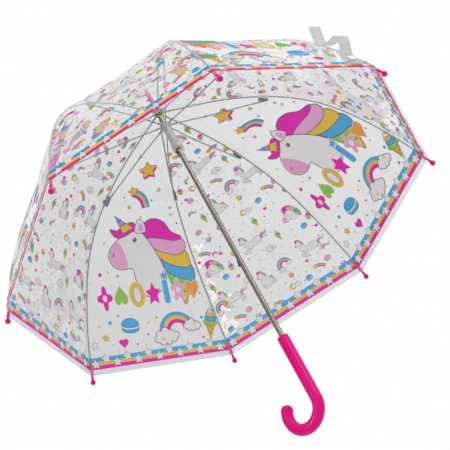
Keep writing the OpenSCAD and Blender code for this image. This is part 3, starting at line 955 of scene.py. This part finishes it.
def dress(name, mat):
    """Gives a CAD node its material in all of its slots."""
    o = frame["nodes"][name]
    if not o.data.materials:
        o.data.materials.append(mat)
    for slot in o.material_slots:
        slot.material = mat


for n in frame["nodes"]:
    if n.startswith("tip") or n in ("handle", "ferrule"):
        dress(n, plastic)
    elif n.startswith(("rib", "stretcher")):
        dress(n, wire)
for n, mat in (("shaft_tube", steel), ("crown_wire", tie), ("runner_wire", tie), ("top_catch", spring),
        ("bottom_catch", spring),
               ("crown_notch", olive), ("runner_sleeve", nylon), ("crown_washer", washer)):
    dress(n, mat)

# ---------------------------------------------------------------- camera, light, world
scene = bpy.context.scene
cam = bpy.data.cameras.new("camera")
cam.lens = 106.2
cam.sensor_width = 36.0
cam.sensor_fit = "HORIZONTAL"
cam.clip_end = 20
eye = bpy.data.objects.new("camera", cam)
scene.collection.objects.link(eye)
PLACE, AIM, ROLL = Vector((-0.8231, 1.4366, -0.8629)), Vector((-0.0076, 0.0014, 0.2663)), 29.13
look = (AIM - PLACE).to_track_quat("-Z", "Y").to_matrix().to_4x4()
eye.matrix_world = Matrix.Translation(PLACE) @ look @ Matrix.Rotation(math.radians(-ROLL), 4, "Z")
scene.camera = eye


def lamp(name, at, to, size, watts, turn=None):
    """A rectangular area lamp at one point, aimed at another."""
    l = bpy.data.lights.new(name, "AREA")
    l.shape = "RECTANGLE"
    l.size, l.size_y = size
    l.energy = watts
    o = bpy.data.objects.new(name, l)
    scene.collection.objects.link(o)
    d = Vector(to) - Vector(at)
    if turn is None:
        o.matrix_world = Matrix.Translation(at) @ d.to_track_quat("-Z", "Y").to_matrix().to_4x4()
    else:                                       # long side along turn
        z = -d.normalized()
        y = (Vector(turn) - Vector(turn).dot(z) * z).normalized()
        o.matrix_world = Matrix.Translation(at) @ Matrix((y.cross(z), y, z)).transposed().to_4x4()


def glint(k, x_share, s0, s1, far):
    """Where a lamp stands so that panel k shows it as a long streak from s0 to s1."""
    ends = []
    for s in (s0, s1):
        x = x_share * half_width(s)
        p = Vector(film_points(k, x, s, FILM_H))
        du = Vector(film_points(k, x + 1, s, FILM_H)) - p
        ds = Vector(film_points(k, x, s + 1, FILM_H)) - p
        n = du.cross(ds).normalized()
        v = (PLACE - p).normalized()
        ends.append((p, p + (2 * n.dot(v) * n - v) * far))
    mid_lamp, mid_film = (ends[0][1] + ends[1][1]) / 2, (ends[0][0] + ends[1][0]) / 2
    return mid_lamp, mid_film, ends[1][1] - ends[0][1]


GLINT = glint(7, -0.88, 300, 440, 1.5)
FLOOR_HALF, FLOOR_Z = 40, -1.4

floor_mesh = bpy.data.meshes.new("floor")
floor_mesh.from_pydata([(x * FLOOR_HALF, y * FLOOR_HALF, FLOOR_Z) for x,
        y in ((-1, -1), (1, -1), (1, 1), (-1, 1))],
                       [], [(0, 1, 2, 3)])
floor_mesh.materials.append(solid("floor_paper", (0.86, 0.86, 0.86, 1), rough=0.8, vary=0.01, scale=3))
floor = bpy.data.objects.new("floor", floor_mesh)
scene.collection.objects.link(floor)

lamp("key", (-1.9, 0.4, 1.6), (0, 0, 0.35), (0.5, 1.4), 16)
lamp("film glint", GLINT[0], GLINT[1], (0.03, 0.9), 0.22, turn=GLINT[2])
lamp("strip", (0.9, 2.0, 0.4), (0, 0, 0.3), (0.25, 1.2), 9)

world = bpy.data.worlds.new("world")
scene.world = world
world.use_nodes = True
wn, wl = world.node_tree.nodes, world.node_tree.links
wn.clear()
wout = wn.new("ShaderNodeOutputWorld")
bg = wn.new("ShaderNodeBackground")
bg.inputs["Strength"].default_value = 1.0
coord = wn.new("ShaderNodeTexCoord")
path_info = wn.new("ShaderNodeLightPath")


def tone_towards(direction, low, high, at_low, at_high):
    """A tone that goes from at_low to at_high as the ray turns towards direction."""
    dot = wn.new("ShaderNodeVectorMath")
    dot.operation = "DOT_PRODUCT"
    dot.inputs[1].default_value = direction
    wl.new(coord.outputs["Generated"], dot.inputs[0])
    step = wn.new("ShaderNodeMapRange")
    for socket, value in (("From Min", low), ("From Max", high), ("To Min", at_low), ("To Max", at_high)):
        step.inputs[socket].default_value = value
    wl.new(dot.outputs["Value"], step.inputs["Value"])
    return step.outputs["Result"]


def choose(factor, when_zero, when_one):
    """A float mix; when_one may be a plain number."""
    mix = wn.new("ShaderNodeMix")
    mix.data_type = "FLOAT"
    wl.new(factor, mix.inputs[0])
    wl.new(when_zero, mix.inputs[2])
    if isinstance(when_one, float):
        mix.inputs[3].default_value = when_one
    else:
        wl.new(when_one, mix.inputs[3])
    return mix.outputs[0]


# light from the world falls off in one patch; straight to the eye it is white, and behind film it is grey: painted
# shade that greys the film for the camera only, lighter towards one side
fall = tone_towards((0.65, 0.68, 0.34), 0.70, 0.92, 1.0, 0.25)
painted_shade_behind_film = tone_towards((-0.88, -0.13, 0.46), -0.19, 0.15, 0.60, 0.80)
through_film = wn.new("ShaderNodeMath")
through_film.operation = "GREATER_THAN"
through_film.inputs[1].default_value = 0.5
wl.new(path_info.outputs["Transparent Depth"], through_film.inputs[0])
seen_through = wn.new("ShaderNodeMath")
seen_through.operation = "MULTIPLY"
wl.new(through_film.outputs[0], seen_through.inputs[0])
wl.new(path_info.outputs["Is Camera Ray"], seen_through.inputs[1])
lit = choose(path_info.outputs["Is Camera Ray"], fall, 1.0)
wl.new(choose(seen_through.outputs[0], lit, painted_shade_behind_film), bg.inputs["Color"])
wl.new(bg.outputs[0], wout.inputs["Surface"])

scene.view_settings.view_transform = "Standard"
scene.view_settings.look = "None"
scene.view_settings.exposure = 0.0
scene.view_settings.gamma = 1.0

# ---------------------------------------------------------------- sizes of the shown pieces
seen = []
for o in scene.objects:
    if o.type == "MESH" and not o.hide_render and o.name != "floor":
        seen.append(np.array([o.matrix_world @ Vector(c) for c in o.bound_box]))
seen = np.vstack(seen)
